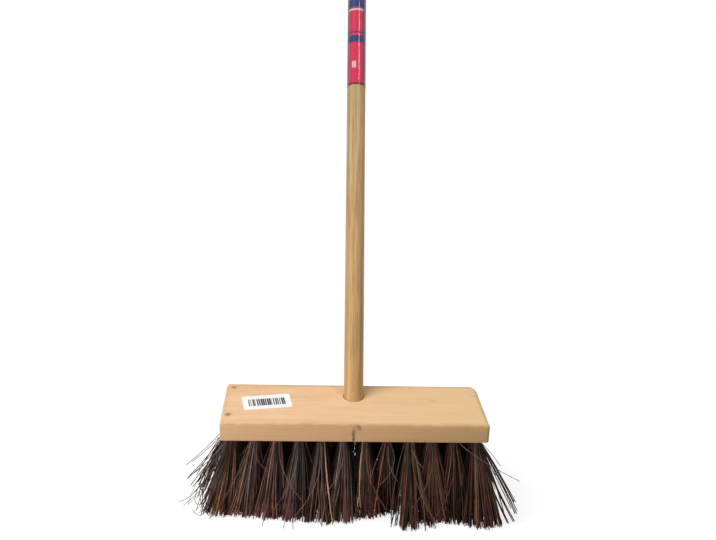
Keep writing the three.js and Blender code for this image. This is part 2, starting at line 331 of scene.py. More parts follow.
# %% Handling marks group
marks, given, give = group(
    "handling_marks",
    {"Vector": ORIGIN, "Tone Scale": 9.0, "Speck Scale": 160.0},
    ("Tone", "Specks"),
)
give("Tone", span(cloud(given["Vector"], given["Tone Scale"]), 0.3, 0.7))
spots = put(marks, "TexVoronoi", {"Vector": given["Vector"], "Scale": given["Speck Scale"]}).outputs
picked = put(marks, "TexWhiteNoise", {"Vector": spots["Position"]}, noise_dimensions="3D").outputs["Value"]
give("Specks", times(span(spots["Distance"], 0.28, 0.12), span(picked, 0.86, 0.92)))
print("group", marks.name, "with", len(marks.nodes), "nodes")

# %% [markdown]
# Stain, used for each bruise, for the knot and round the nail
#
# A bruise or knot in pale wood is a dark middle with a soft, ragged halo. The group measures the distance
# to a place, roughens it with noise and puts out two masks. The reach is a vector, so that a stain can be
# long.

# %% Stain group
RAGGED_SCALE = 420.0

stain, given, give = group(
    "wood_stain",
    {"Vector": ORIGIN, "Place": ORIGIN, "Reach": (4 * MM, 4 * MM, 4 * MM)},
    ("Core", "Halo"),
)
offset = vectors("DIVIDE", vectors("SUBTRACT", given["Vector"], given["Place"]), given["Reach"])
ragged = sums("SUBTRACT", cloud(given["Vector"], RAGGED_SCALE), 0.5)
distance = sums("ADD", length(offset), ragged)
give("Core", span(distance, 0.75, 0.25))
give("Halo", span(distance, 1.25, 0.3))
print("group", stain.name, "with", len(stain.nodes), "nodes")

# %% [markdown]
# Stock wood
#
# The block is pale planed softwood: a warm tan with low contrast, faint arcs and fine streaks along its
# length, yellower to the right and darker and more orange on the front face. A picture of wood would break
# at the block's edges. Object coordinates run through the block as real grain does, so the end grain shows
# on the ends. Colours are written as they look on screen, from 0 to 255, and laid over one another like
# coats of paint.


# %% Helpers for finishes
def srgb(red, green, blue):
    """A colour as seen on screen, made linear, with full alpha."""
    linear = [((v / 255 + 0.055) / 1.055) ** 2.4 if v > 10 else v / 255 / 12.92 for v in (red, green, blue)]
    return (*linear, 1.0)


def blend(share, first, second, how="MIX"):
    """Mixes two colours."""
    inputs = {0: share, 6: first, 7: second}
    return put(share.id_data, "Mix", inputs, data_type="RGBA", blend_type=how).outputs[2]


def layered(colour, *layers):
    """Lays colours over a first one. A layer is a mask, its strength and a colour as seen on screen."""
    for mask, strength, over in layers:
        colour = blend(times(mask, strength), colour, srgb(*over))
    return colour


def axes(vector):
    """A vector's X, Y and Z."""
    return put(vector.id_data, "SeparateXYZ", {0: vector}).outputs


def use(shared, vector, values):
    """Places a node group with its values beside a vector and returns its outputs."""
    return put(vector.id_data, "Group", {"Vector": vector, **values}, node_tree=shared).outputs


def bumped(height, strength, depth):
    """A normal that follows a height."""
    inputs = {"Height": height, "Strength": strength, "Distance": depth}
    return put(height.id_data, "Bump", inputs).outputs[0]


def new_finish(name):
    """A new material, and the place of each point in its object's own coordinates."""
    finish = bpy.data.materials.new(name)
    finish.use_nodes = True
    return finish, put(finish.node_tree, "TexCoord").outputs["Object"]


def complete(finish, inputs):
    """Feeds the Principled shader of a material."""
    fill(finish.node_tree.nodes["Principled BSDF"], inputs)
    print("material", finish.name, "with", len(finish.node_tree.nodes), "nodes")


print("finish helpers ready")

# %% Stock wood colour
STOCK_PITH = (40 * MM, 26 * MM, TOP - 95 * MM)
PATCH_SCALES = (16, 60, 60)
YELLOW_FROM = -80 * MM
FRONT_FACE_DEPTH = 2.5 * MM

stock_wood, place = new_finish("stock_wood")
at = axes(place)
wood = use(grain, place, {"Ring Width": 9 * MM, "Pith": STOCK_PITH, "Waviness": 26 * MM})
worn = use(marks, place, {"Tone Scale": 14.0})
patches = streaky(place, PATCH_SCALES, detail=4.0, roughness=0.6)
stock_colour = layered(
    srgb(243, 202, 158),
    (wood["Rings"], 0.5, (218, 167, 120)),
    (wood["Streaks"], 0.5, (222, 171, 124)),
    (span(patches, 0.42, 0.7), 0.6, (238, 208, 168)),
    (worn["Tone"], 0.4, (228, 184, 138)),
    (span(at["X"], YELLOW_FROM, HALF_LENGTH), 0.62, (224, 190, 135)),
    # darker and more orange on the front face
    (span(at["Y"], -HALF_DEPTH + FRONT_FACE_DEPTH, -HALF_DEPTH), 0.4, (208, 152, 90)),
)
print("stock wood has its rings, streaks and tones")

# %% [markdown]
# Bruises, knot and seam
#
# The block has been knocked near its ends, a small knot shows at the top of the front face, and a dark seam
# runs down from it. They could be painted on a picture. Here each bruise and the knot is a stain with its
# own place and reach, and the seam is a stripe whose middle wanders with a noise, so that it doesn't look
# ruled.

# %% Marks in the stock wood
STOCK_BRUISES = {  # place on the top face, half length and half width, strength of its colour
    "left_back": ((-155 * MM, 42 * MM), (7.0 * MM, 6.0 * MM), 0.58),
    "left_front": ((-156 * MM, -31 * MM), (6.0 * MM, 7.4 * MM), 0.66),
    "right_back": ((157 * MM, 25 * MM), (7.0 * MM, 4.2 * MM), 0.14),
    "right_middle": ((101 * MM, 9 * MM), (10.0 * MM, 5.0 * MM), 0.13),
}
BRUISE_DEPTH = 6 * MM
BRUISE_HALO = 0.7
KNOT_PLACE, KNOT_REACH = (0, -HALF_DEPTH, TOP - 6 * MM), (6.6 * MM, 6 * MM, 5.6 * MM)
SEAM_X, SEAM_WIDTH, SEAM_CORE = -2.6 * MM, 2.6 * MM, 0.6 * MM
SEAM_WANDER, WANDER_SCALE, BROKEN_SCALE = 3 * MM, 95.0, 240.0
SEAM_IN, SEAM_DOWN = (-HALF_DEPTH + 6 * MM, -HALF_DEPTH + 2 * MM), (TOP - 6 * MM, TOP - 10 * MM)
RING_RIGHT, RING_UP = (SEAM_X, SEAM_X + 7 * MM), (TOP - 10 * MM, TOP - 3 * MM)
nail_low, nail_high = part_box("handle_nail")
NAIL_LEVEL = (nail_low.z + nail_high.z) / 2
NAIL_REACH = (6 * MM, 4 * MM, 5 * MM)

for (x, y), (half_length, half_width), strength in STOCK_BRUISES.values():
    reach = (half_length, half_width, BRUISE_DEPTH)
    bruise = use(stain, place, {"Place": (x, y, TOP), "Reach": reach})
    halo = (bruise["Halo"], BRUISE_HALO * strength, (186, 142, 92))
    stock_colour = layered(stock_colour, halo, (bruise["Core"], strength, (120, 106, 74)))
knot = use(stain, place, {"Place": KNOT_PLACE, "Reach": KNOT_REACH})
darker_right = span(at["X"], *RING_RIGHT, 0.25, 1.1)
darker_above = span(at["Z"], *RING_UP, 0.35, 1.0)
knot_ring = times(sums("SUBTRACT", knot["Halo"], knot["Core"]), darker_right, darker_above)
wander = times(sums("SUBTRACT", cloud(place, WANDER_SCALE), 0.5), SEAM_WANDER)
aside = sums("ABSOLUTE", sums("ADD", sums("SUBTRACT", at["X"], SEAM_X), wander))
broken = span(cloud(place, BROKEN_SCALE, detail=2.0), 0.25, 0.6, 0.55, 0.85)
on_front, below_knot = span(at["Y"], *SEAM_IN), span(at["Z"], *SEAM_DOWN)
seam = times(span(aside, SEAM_WIDTH, SEAM_CORE), on_front, below_knot, broken)
round_nail = use(stain, place, {"Place": (0, HALF_DEPTH, NAIL_LEVEL), "Reach": NAIL_REACH})
stock_colour = layered(
    stock_colour,
    (knot["Core"], 0.6, (186, 138, 110)),
    (knot_ring, 1.1, (126, 88, 62)),
    (seam, 1.0, (88, 64, 50)),
    (round_nail["Halo"], 0.4, (150, 110, 74)),
)
print("stock wood has", len(STOCK_BRUISES), "bruises, a knot, a seam and the mark of the nail")

# %% [markdown]
# Soiled and shaded edges
#
# Handling soils a block along its rounded edges, and most along the back of its top face. The same
# darkening
# is also painted shade: it tones down the light that the rounded edges and the rim of the top face catch.
# The edges could be painted by hand. Here the true normal finds the roundings, because it points along no
# axis there, and the distance to the rim finds the strip of the top face beside them. The darkening, partly
# dirt and partly painted shade, multiplies the wood's colour.

# %% Soiled edges with painted shade, and stock finish
SQUARE, ROUND = 0.995, 0.93
DIRT_AND_SHADE_FROM, DIRT_AND_SHADE_FULL = 8 * MM, 1 * MM
BACK_FROM, BACK_FULL = 10 * MM, 3 * MM
DIRT_AND_SHADE_SCALE = 70.0

facing = axes(vectors("ABSOLUTE", put(stock_wood.node_tree, "NewGeometry").outputs["True Normal"]))
squarest = sums("MAXIMUM", sums("MAXIMUM", facing["X"], facing["Y"]), facing["Z"])
from_end = sums("SUBTRACT", HALF_LENGTH, sums("ABSOLUTE", at["X"]))
from_side = sums("SUBTRACT", HALF_DEPTH, sums("ABSOLUTE", at["Y"]))
near_rim = span(sums("MINIMUM", from_end, from_side), DIRT_AND_SHADE_FROM, DIRT_AND_SHADE_FULL, 0.0, 0.65)
near_back = span(at["Y"], HALF_DEPTH - BACK_FROM, HALF_DEPTH - BACK_FULL)
rim_dirt_and_shade = times(sums("MAXIMUM", near_rim, near_back), facing["Z"])
patchy = span(cloud(place, DIRT_AND_SHADE_SCALE), 0.3, 0.65, 0.6, 1.0)
# partly dirt, partly painted shade on the rounded edges and the rim of the top face
edge_dirt_and_shade = times(sums("MAXIMUM", span(squarest, SQUARE, ROUND), rim_dirt_and_shade), patchy)
stock_finish = {
    "Base Color": blend(edge_dirt_and_shade, stock_colour, srgb(226, 221, 217), "MULTIPLY"),
    "Roughness": span(wood["Streaks"], 0.0, 1.0, 0.58, 0.68),
    "IOR": 1.45,
    "Normal": bumped(wood["Height"], strength=0.25, depth=0.2 * MM),
}
complete(stock_wood, stock_finish)

# %% [markdown]
# Mesh helpers
#
# Most pieces are skins through outlines: the rim of the block, the turns of the handle, the tunnel of the
# socket. They could be loops of operators on a cube or cylinder, but outlines say exactly where each edge
# lies. One helper joins outlines with quads, and another closes a flat face that has holes in it.


# %% Mesh helpers
def join_rings(bm, lower, upper):
    """Quads between two rings of vertices of the same length."""
    for i, corner in enumerate(lower):
        bm.faces.new((lower[i - 1], corner, upper[i], upper[i - 1]))


def skin(bm, outlines):
    """A skin through closed outlines of points, first to last. Returns their rings of vertices."""
    rings = [[bm.verts.new(point) for point in outline] for outline in outlines]
    for lower, upper in zip(rings, rings[1:]):
        join_rings(bm, lower, upper)
    return rings


def pit(bm, outlines):
    """A blind hollow, from the outline of its mouth to that of its floor. Returns the ring of its mouth."""
    rings = skin(bm, outlines)
    bm.faces.new(rings[-1])
    return rings[0]


def close_flat(bm, rings, normal):
    """Fills the flat face whose rim and holes are rings."""
    edges = []
    for ring in rings:
        edges += [bm.edges.get(ends) or bm.edges.new(ends) for ends in zip(ring, ring[1:] + ring[:1])]
    bmesh.ops.triangle_fill(bm, use_beauty=True, use_dissolve=False, edges=edges, normal=normal)


def finished(bm, name, finish, sharp=35):
    """Makes a smooth-shaded object of a mesh. Edges sharper than an angle in degrees stay crisp."""
    bmesh.ops.recalc_face_normals(bm, faces=bm.faces)
    mesh = bpy.data.meshes.new(name)
    bm.to_mesh(mesh)
    bm.free()
    mesh.polygons.foreach_set("use_smooth", [True] * len(mesh.polygons))
    mesh.set_sharp_from_angle(angle=math.radians(sharp))
    mesh.materials.append(finish)
    return shown(name, mesh)


def dress(piece, node):
    """Says which body the piece rides on and the CAD node that it stands for."""
    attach(piece, "root")
    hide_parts(node)
    print("piece", piece.name, len(piece.data.polygons), "faces")


print("mesh helpers ready")

# %% [markdown]
# Outline of the stock
#
# The block could be a cube with a bevel, but then it would have no holes. Here its rim is drawn as a ring
# of points with rounded corners, of which the right rear one is sanded rounder. Drawing the rim in, ring by
# ring, gives soft edges. A corner's radius shrinks on the way in, so that the corner can't fold over.

# %% Stock outline
CORNER = (4 * MM, 4 * MM)
SANDED_CORNER = (8 * MM, 14 * MM)
CORNER_STEPS = 10
LEAST_CORNER = 0.5 * MM
POINT_GAP = 9 * MM
CORNER_SIDES = ((1, -1), (1, 1), (-1, 1), (-1, -1))


def quarter(number, steps):
    """Cosines and sines over a quarter turn: number 0 starts at +X."""
    angles = [math.pi / 2 * (number + i / steps) for i in range(steps + 1)]
    return [(math.cos(angle), math.sin(angle)) for angle in angles]


def corner_point(corner, inset):
    """A point of a rounded corner, drawn in."""
    (side_x, side_y), (along, across), (cosine, sine) = corner
    along, across = max(along - inset, LEAST_CORNER), max(across - inset, LEAST_CORNER)
    x = side_x * (HALF_LENGTH - inset - along) + along * cosine
    return Vector((x, side_y * (HALF_DEPTH - inset - across) + across * sine))


def stock_rim():
    """Points round the stock, anticlockwise from above: (place, outward direction, its corner or None)."""
    rim = []
    for number, sides in enumerate(CORNER_SIDES):
        along, across = SANDED_CORNER if sides == (1, 1) else CORNER
        for cosine, sine in quarter(number - 1, CORNER_STEPS):
            corner = (sides, (along, across), (cosine, sine))
            outward = Vector((across * cosine, along * sine)).normalized()
            rim.append((corner_point(corner, 0), outward, corner))
    spaced = []
    for point, (next_spot, _, _) in zip(rim, rim[1:] + rim[:1]):
        spot, outward, _ = point
        steps = max(1, round((next_spot - spot).length / POINT_GAP))
        spaced += [point] + [(spot.lerp(next_spot, i / steps), outward, None) for i in range(1, steps)]
    return spaced


def drawn_in(rim_point, inset):
    """A point of the rim, drawn in."""
    spot, outward, corner = rim_point
    return corner_point(corner, inset) if corner else spot - outward * inset


rim = stock_rim()
print("stock rim has", len(rim), "points")

# %% [markdown]
# Stock
#
# The rings are stacked up with a soft edge above and a small one below. The right-hand end is sanded
# rounder than the rest, and a slight unevenness in the top edge keeps it hand-made. A second ring just
# inside each rounded edge holds the flat faces flat: without it, smooth shading would bend their normals
# towards the edge and draw the long triangles of the fill as soft scallops. The two flat faces are filled
# around the tuft holes, the bruises that are deep enough to be dents, and the socket, which slants with the
# handle, so that a level cut through it is an ellipse.

# %% Stock skin
LOW_ROUND, LOW_STEPS = 0.8 * MM, 3
TOP_ROUND, TOP_STEPS = 3.6 * MM, 6
END_ROUND, END_RUN = 5.0 * MM, 16 * MM
FLAT_HOLD = 1 * MM
EDGE_UNEVEN, EDGE_SCALE = 0.04, 45


def wobble(x, y, z, scale, size):
    """A small repeatable unevenness."""
    return size * noise.noise(Vector((x, y, z)) * scale)


def rounded(radius, steps):
    """(inset, distance from the flat face) pairs that round an edge off, from its side to the flat face."""
    return [(radius * (1 - cosine), radius * (1 - sine)) for cosine, sine in quarter(0, steps)]


def sanding(spot):
    """How much rounder than TOP_ROUND the top edge is at a place."""
    near_end = min(max((spot.x - HALF_LENGTH) / END_RUN + 1, 0), 1)
    return 1 + (END_ROUND / TOP_ROUND - 1) * near_end**2 + wobble(*spot, 0, EDGE_SCALE, EDGE_UNEVEN)


low_edge = [(LOW_ROUND + FLAT_HOLD, 0)] + rounded(LOW_ROUND, LOW_STEPS)[::-1]
top_edge = rounded(TOP_ROUND, TOP_STEPS) + [(TOP_ROUND + FLAT_HOLD, 0)]
outlines = [[(*drawn_in(point, inset), UNDERSIDE + rise) for point in rim] for inset, rise in low_edge]
sanded = [(point, sanding(point[0])) for point in rim]
for inset, fall in top_edge:
    outlines.append([(*drawn_in(point, inset * more), TOP - fall * more) for point, more in sanded])
bm = bmesh.new()
rings = skin(bm, outlines)
print("stock skin has", len(outlines), "rings")

# %% Holes and flat faces of the stock
ROWS = ("front", "mid_front", "mid_back", "back")
SOCKET_RADIUS, SOCKET_SIDES = HANDLE_RADIUS + 0.3 * MM, 64
SOCKET_SHAPE = [  # growth of the radius, depth
    (0.7 * MM + FLAT_HOLD, 0),
    (0.7 * MM, 0),
    (0.2 * MM, 0.35 * MM),
    (0, 0.9 * MM),
    (0, TOP - UNDERSIDE),
]
DENT_FROM = 0.5
DENT_SHAPE = [(0.66, 0), (0.6, 0), (0.46, 0.12 * MM), (0.3, 0.4 * MM), (0.15, 0.6 * MM)]  # share, depth
HOLE_RADIUS, HOLE_SIDES = 4.5 * MM, 20
HOLE_SHAPE = [(0.4 * MM, 0), (0, 0.5 * MM), (0, 13 * MM)]  # growth of the radius, depth


def circle(x, y, z, radius, sides, stretch=1.0):
    """Points of a level circle, or of an ellipse stretched along Y."""
    angles = [2 * math.pi * i / sides for i in range(sides)]
    return [(x + radius * math.cos(a), y + radius * stretch * math.sin(a), z) for a in angles]


def tuft_spots(row):
    """The middles of a row's tufts, from the boxes of their staples."""
    staples = [name for name in sorted(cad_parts) if name.startswith(f"staple_{row}_")]
    return [(sum(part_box(name), Vector()) / 2).xy for name in staples]


outlines = []
for growth, depth in SOCKET_SHAPE:
    y = HANDLE_SETBACK - depth * TILT_SINE / TILT_COSINE
    outlines.append(circle(0, y, TOP - depth, SOCKET_RADIUS + growth, SOCKET_SIDES, 1 / TILT_COSINE))
tunnel = skin(bm, outlines)
top_holes, low_holes = [tunnel[0]], [tunnel[-1]]
for (x, y), (half_length, half_width), strength in STOCK_BRUISES.values():
    if strength > DENT_FROM:
        levels = [(TOP - depth, half_length * share) for share, depth in DENT_SHAPE]
        stretch = half_width / half_length
        top_holes.append(pit(bm, [circle(x, y, z, radius, HOLE_SIDES, stretch) for z, radius in levels]))
close_flat(bm, [rings[-1]] + top_holes, (0, 0, 1))
for row in ROWS:
    for spot in tuft_spots(row):
        levels = [(UNDERSIDE + depth, HOLE_RADIUS + growth) for growth, depth in HOLE_SHAPE]
        low_holes.append(pit(bm, [circle(*spot, z, radius, HOLE_SIDES) for z, radius in levels]))
close_flat(bm, [rings[0]] + low_holes, (0, 0, -1))
dress(finished(bm, "stock_block", stock_wood), "stock")

# %% [markdown]
# Handle wood
#
# The handle is a darker, tighter grained stick with a thin coat of varnish. It uses the same grain group,
# fed with coordinates whose X runs along the stick. One noise would look like a single dye, so three
# stretched ones lay orange, olive and pale streaks over it. A little Coat on the shader gives the varnish.
# Towards its foot the colour is darkened with painted shade.

# %% Handle wood material
HANDLE_PITH = (0, 9 * MM, 34 * MM)
HANDLE_STREAKS = {  # shift of the noise, its scales, where it begins and is full, strength, colour
    "orange": (ORIGIN, (14, 240, 240), (0.44, 0.62), 0.7, (198, 146, 90)),
    "olive": ((7, 4, 6), (18, 330, 330), (0.46, 0.62), 0.5, (170, 144, 98)),
    "pale": ((3, 1, 2), (10, 420, 420), (0.5, 0.66), 0.6, (236, 206, 146)),
}
PAINTED_SHADE_BELOW = 0.36

handle_wood, place = new_finish("handle_wood")
at = axes(place)
lengthwise = put(handle_wood.node_tree, "CombineXYZ", {0: at["Z"], 1: at["X"], 2: at["Y"]}).outputs[0]
wood = use(grain, lengthwise, {"Ring Width": 3.2 * MM, "Pith": HANDLE_PITH, "Waviness": 5 * MM})
worn = use(marks, lengthwise, {"Tone Scale": 7.0, "Speck Scale": 190.0})
handle_colour = layered(srgb(228, 195, 138), (wood["Rings"], 0.45, (182, 141, 92)))
for shift, scales, limits, strength, over in HANDLE_STREAKS.values():
    streak = streaky(vectors("ADD", lengthwise, shift), scales, roughness=0.55)
    handle_colour = layered(handle_colour, (span(streak, *limits), strength, over))
handle_colour = layered(
    handle_colour,
    (wood["Streaks"], 0.4, (164, 129, 82)),
    (worn["Tone"], 0.25, (206, 160, 106)),
    (worn["Specks"], 0.3, (122, 88, 54)),
)
handle_finish = {
    # painted shade: the colour darkens towards the foot of the handle
    "Base Color": blend(span(at["Z"], PAINTED_SHADE_BELOW, 0.0), handle_colour, srgb(232, 220, 204), "MULTIPLY"),
    "Roughness": span(wood["Streaks"], 0.0, 1.0, 0.44, 0.58),
    "IOR": 1.48,
    "Coat Weight": 0.12,
    "Coat Roughness": 0.3,
    "Normal": bumped(wood["Height"], strength=0.2, depth=0.12 * MM),
}
complete(handle_wood, handle_finish)

# %% [markdown]
# Handle
#
# A machine rounds these sticks with a few passes, which leaves the faintest flats along them. A plain
# cylinder would have none, so the mesh is a skin through rings along the axis, whose radius wavers by a few
# hundredths of a millimetre. The far end is domed and the foot is chamfered. The object's own frame lies on
# the axis, so its coordinates suit the grain.

# %% Handle
HANDLE_CHAMFER, HANDLE_DOME = 1.5 * MM, 10 * MM
HANDLE_SIDES, HANDLE_RINGS, DOME_STEPS = 56, 70, 10
FLATS, FLAT_DEPTH, FLAT_TWIST = 7, 0.03 * MM, 1.7
STICK_UNEVEN, STICK_SCALE, STICK_ALONG = 0.05 * MM, 1.5, 6
handle_frame = Matrix.Translation((0, HANDLE_SETBACK, TOP)) @ Matrix.Rotation(-HANDLE_TILT, 4, "X")


def along_handle(z, radius=0.0):
    """How far up the axis a rim lies, from the height of its lowest point."""
    return (z - TOP + radius * TILT_SINE) / TILT_COSINE


def stick_ring(z, radius):
    """One turn of the handle, with its faint flats."""
    points = []
    for i in range(HANDLE_SIDES):
        angle = 2 * math.pi * i / HANDLE_SIDES
        cosine, sine = math.cos(angle), math.sin(angle)
        uneven = FLAT_DEPTH * math.cos(FLATS * angle + FLAT_TWIST * z)
        uneven += wobble(cosine, sine, STICK_ALONG * z, STICK_SCALE, STICK_UNEVEN)
        reach = (radius - FLAT_DEPTH) * (1 + uneven / HANDLE_RADIUS)
        points.append((reach * cosine, reach * sine, z))
    return points


dome_rise = math.hypot(HANDLE_DOME * TILT_COSINE, HANDLE_RADIUS * TILT_SINE)
foot = along_handle(handle_low.z, HANDLE_RADIUS - HANDLE_CHAMFER)
dome_start = along_handle(handle_high.z - dome_rise)
profile = [(foot, HANDLE_RADIUS - HANDLE_CHAMFER)]
profile += [(z, HANDLE_RADIUS) for z in np.linspace(foot + HANDLE_CHAMFER, dome_start, HANDLE_RINGS + 1)]
for cosine, sine in quarter(0, DOME_STEPS)[1:-1]:
    profile.append((dome_start + HANDLE_DOME * sine, HANDLE_RADIUS * cosine))
bm = bmesh.new()
rings = skin(bm, [stick_ring(z, radius) for z, radius in profile])
bm.faces.new(rings[0])
tip = bm.verts.new((0, 0, dome_start + HANDLE_DOME))
for i, corner in enumerate(rings[-1]):
    bm.faces.new((rings[-1][i - 1], corner, tip))
handle = finished(bm, "handle_stick", handle_wood)
handle.matrix_world = handle_frame
dress(handle, "handle")

# %% [markdown]
# Print of the film
#
# A sleeve of thin glossy film is wrapped round the handle. Its print is a plain design: red with navy bands
# and sides, a pale line and a small white panel, and at the back navy with one red field. A noise can't
# place a print where it belongs. A UV map can, and it wraps with the film: U runs round the handle from its
# back, V along it.

# %% Film material
RED, NAVY, WHITE = (240, 32, 84), (26, 44, 116), (228, 226, 230)
NAVY_BANDS = ((0.33, 0.385), (0.405, 0.417), (0.61, 0.672), (0.69, 0.80), (0.95, 1.02))
WHITE_LINE, LOW_RIM, RED_FIELD = (0.585, 0.597), (-0.02, 0.014), (0.08, 0.30)
PANEL_ROUND, PANEL_UP = (0.41, 0.485), (0.13, 0.18)
FRONT_ROUND, NOT_BACK_ROUND = (0.335, 0.605, 0.012), (0.2, 0.8, 0.015)


def stripe(value, low, high, soft=0.004):
    """1 between low and high."""
    return times(span(value, low - soft, low + soft), span(value, high + soft, high - soft))


film, place = new_finish("label_film")
uv = axes(put(film.node_tree, "UVMap", uv_map="UVMap").outputs[0])
round_it, up_it = uv["X"], uv["Y"]
worn = use(marks, place, {"Tone Scale": 30.0, "Speck Scale": 420.0})
sides = sums("SUBTRACT", 1.0, stripe(round_it, *FRONT_ROUND))
back = sums("SUBTRACT", 1.0, stripe(round_it, *NOT_BACK_ROUND))
film_colour = layered(
    srgb(*RED),
    (worn["Tone"], 0.4, (206, 30, 66)),
    *[(stripe(up_it, *band), 1.0, NAVY) for band in NAVY_BANDS],
    (stripe(up_it, *WHITE_LINE), 1.0, WHITE),
    (times(stripe(round_it, *PANEL_ROUND), stripe(up_it, *PANEL_UP)), 0.8, WHITE),
    (sides, 0.86, (50, 52, 100)),
    (back, 0.92, NAVY),
    (times(back, stripe(up_it, *RED_FIELD)), 1.0, RED),
    (stripe(up_it, *LOW_RIM), 1.0, (110, 28, 46)),
    (worn["Specks"], 0.1, (236, 190, 200)),
)
film_finish = {
    "Base Color": film_colour,
    "Roughness": span(worn["Tone"], 0.0, 1.0, 0.2, 0.34),
    "IOR": 1.5,
    "Specular IOR Level": 0.2,
    "Coat Weight": 0.62,
    "Coat Roughness": 0.04,
}
complete(film, film_finish)

# %% [markdown]
# Film
#
# The sleeve could be a copy of the handle's skin, but a sheet without thickness makes a poor solid. So it
# is a thin closed shell: an outer skin, an inner skin and two rims. It stands a hair off the wood and
# puckers slightly, most at its ends, so that the gloss breaks up as it does on real shrunk film.

# %% Film sleeve
label_low, label_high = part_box("handle_label")
FILM_START = along_handle(label_low.z, label_high.x)
FILM_LENGTH = along_handle(label_high.z, -label_high.x) - FILM_START
FILM_INSIDE, FILM_THICK = HANDLE_RADIUS + 0.22 * MM, 0.12 * MM
FILM_AROUND, FILM_ALONG = 72, 60
FILM_END_SHARE = 0.03
PUCKER, END_PUCKER, PUCKER_SCALE = 0.006 * MM, 0.09 * MM, 1.6
PUCKERS_AROUND, PUCKERS_ALONG = 2, 14
CUT_UNEVEN, CUT_SCALE, CUT_LEVEL = 0.8 * MM, 1.1, 5.0


def film_point(i, j, radius):
    """Point i round the film and j along it."""
    angle = 2 * math.pi * i / FILM_AROUND + math.pi / 2
    cosine, sine = math.cos(angle), math.sin(angle)
    share = j / FILM_ALONG
    near_end = math.exp(-min(share, 1 - share) / FILM_END_SHARE)
    folds = (PUCKERS_AROUND * cosine, PUCKERS_AROUND * sine, PUCKERS_ALONG * share)
    reach = radius + wobble(*folds, PUCKER_SCALE, PUCKER + END_PUCKER * near_end)
    shift = near_end * wobble(cosine, sine, CUT_LEVEL, CUT_SCALE, CUT_UNEVEN)
    return (reach * cosine, reach * sine, FILM_START + FILM_LENGTH * share + shift)


def turn_of(point):
    """Share of a turn round the handle: 0.5 at its front, 0.75 at its right."""
    return ((math.atan2(point.y, point.x) + math.pi / 2) / (2 * math.pi) + 0.5) % 1.0


bm = bmesh.new()
outer, inner = (
    skin(bm, [[film_point(i, j, radius) for i in range(FILM_AROUND)] for j in range(FILM_ALONG + 1)])
    for radius in (FILM_INSIDE + FILM_THICK, FILM_INSIDE)
)
join_rings(bm, outer[0], inner[0])
join_rings(bm, outer[-1], inner[-1])
wrap = bm.loops.layers.uv.new("UVMap")
for face in bm.faces:
    face_turn = turn_of(face.calc_center_median())
    for corner in face.loops:
        spot = corner.vert.co
        turn = turn_of(spot)
        turn += round(face_turn - turn)
        corner[wrap].uv = (turn, (spot.z - FILM_START) / FILM_LENGTH)
sleeve = finished(bm, "handle_film", film, sharp=50)
sleeve.matrix_world = handle_frame
dress(sleeve, "handle_label")

# %% [markdown]
# Paper of the sticker
#
# A small white sticker lies on the top face, a little askew. Its print is a block of plain bars without
# meaning. They could be a picture, but a noise needs none: it is read once for each narrow column, and its
# value sets how wide the bar in that column is.

# %% Paper material
PULP_SCALE = 1400.0
BAR_PITCH, BAR_SOFT = 2.6 * MM, 0.02
BAR_WIDTHS = (0.3, 0.9)
FIRST_COLUMN = 200 * MM
BLOCK_X, BLOCK_Y = (-24 * MM, 23 * MM, 0.1 * MM), (-9 * MM, 9 * MM, 0.1 * MM)

paper, place = new_finish("label_paper")
at = axes(place)
worn = use(marks, place, {"Tone Scale": 60.0})
columns = sums("DIVIDE", sums("ADD", at["X"], FIRST_COLUMN), BAR_PITCH)
bar_width = span(chance(columns), 0.0, 1.0, *BAR_WIDTHS)
inked = span(sums("SUBTRACT", sums("FRACT", columns), bar_width), BAR_SOFT, -BAR_SOFT)
bars = times(inked, times(stripe(at["X"], *BLOCK_X), stripe(at["Y"], *BLOCK_Y)))
paper_finish = {
    "Base Color": layered(
        srgb(250, 250, 248),
        (worn["Tone"], 0.5, (240, 239, 236)),
        (bars, 1.0, (38, 40, 52)),
    ),
    "Roughness": 0.5,
    "IOR": 1.45,
    "Normal": bumped(cloud(place, PULP_SCALE), strength=0.15, depth=0.1 * MM),
}
complete(paper, paper_finish)

# %% [markdown]
# Sticker
#
# A plane with one face couldn't curl. The sticker is a closed sheet with rounded corners, drawn as
# shrinking outlines on both faces, and one corner has begun to lift, as stickers do on bare wood.

# %% Sticker
STICKER_WIDTH, STICKER_HEIGHT = 61 * MM, 35 * MM
STICKER_TURN = math.radians(9.5)
STICKER_CORNER, STICKER_STEPS = 3 * MM, 6
STICKER_SHARES = (1.0, 0.985, 0.93, 0.85, 0.72, 0.5, 0.25)
PAPER_THICK, PAPER_GAP = 0.15 * MM, 0.03 * MM
LIFT, LIFT_FROM = 0.9 * MM, 0.72


def curl(x, y):
    """How far the paper has lifted: most at the right-hand far corner."""
    past = max(x / STICKER_WIDTH + y / STICKER_HEIGHT - LIFT_FROM, 0)
    return LIFT * (past / (1 - LIFT_FROM)) ** 2 + PAPER_GAP


def sticker_outline(share, height):
    """The sticker's outline, shrunk to a share of its size."""
    points = []
    for number, (side_x, side_y) in enumerate(CORNER_SIDES):
        for cosine, sine in quarter(number - 1, STICKER_STEPS):
            x = share * (side_x * (STICKER_WIDTH / 2 - STICKER_CORNER) + STICKER_CORNER * cosine)
            y = share * (side_y * (STICKER_HEIGHT / 2 - STICKER_CORNER) + STICKER_CORNER * sine)
            points.append((x, y, curl(x, y) + height))
    return points


bm = bmesh.new()
upper, lower = (
    skin(bm, [sticker_outline(share, height) for share in STICKER_SHARES]) for height in (PAPER_THICK, 0)
)
join_rings(bm, upper[0], lower[0])
bm.faces.new(upper[-1])
bm.faces.new(lower[-1])
sticker = finished(bm, "stock_paper", paper, sharp=50)
sticker_low, sticker_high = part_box("stock_sticker")
middle = (sticker_low + sticker_high) / 2
sticker.matrix_world = Matrix.Translation((middle.x, middle.y, TOP)) @ Matrix.Rotation(STICKER_TURN, 4, "Z")
dress(sticker, "stock_sticker")
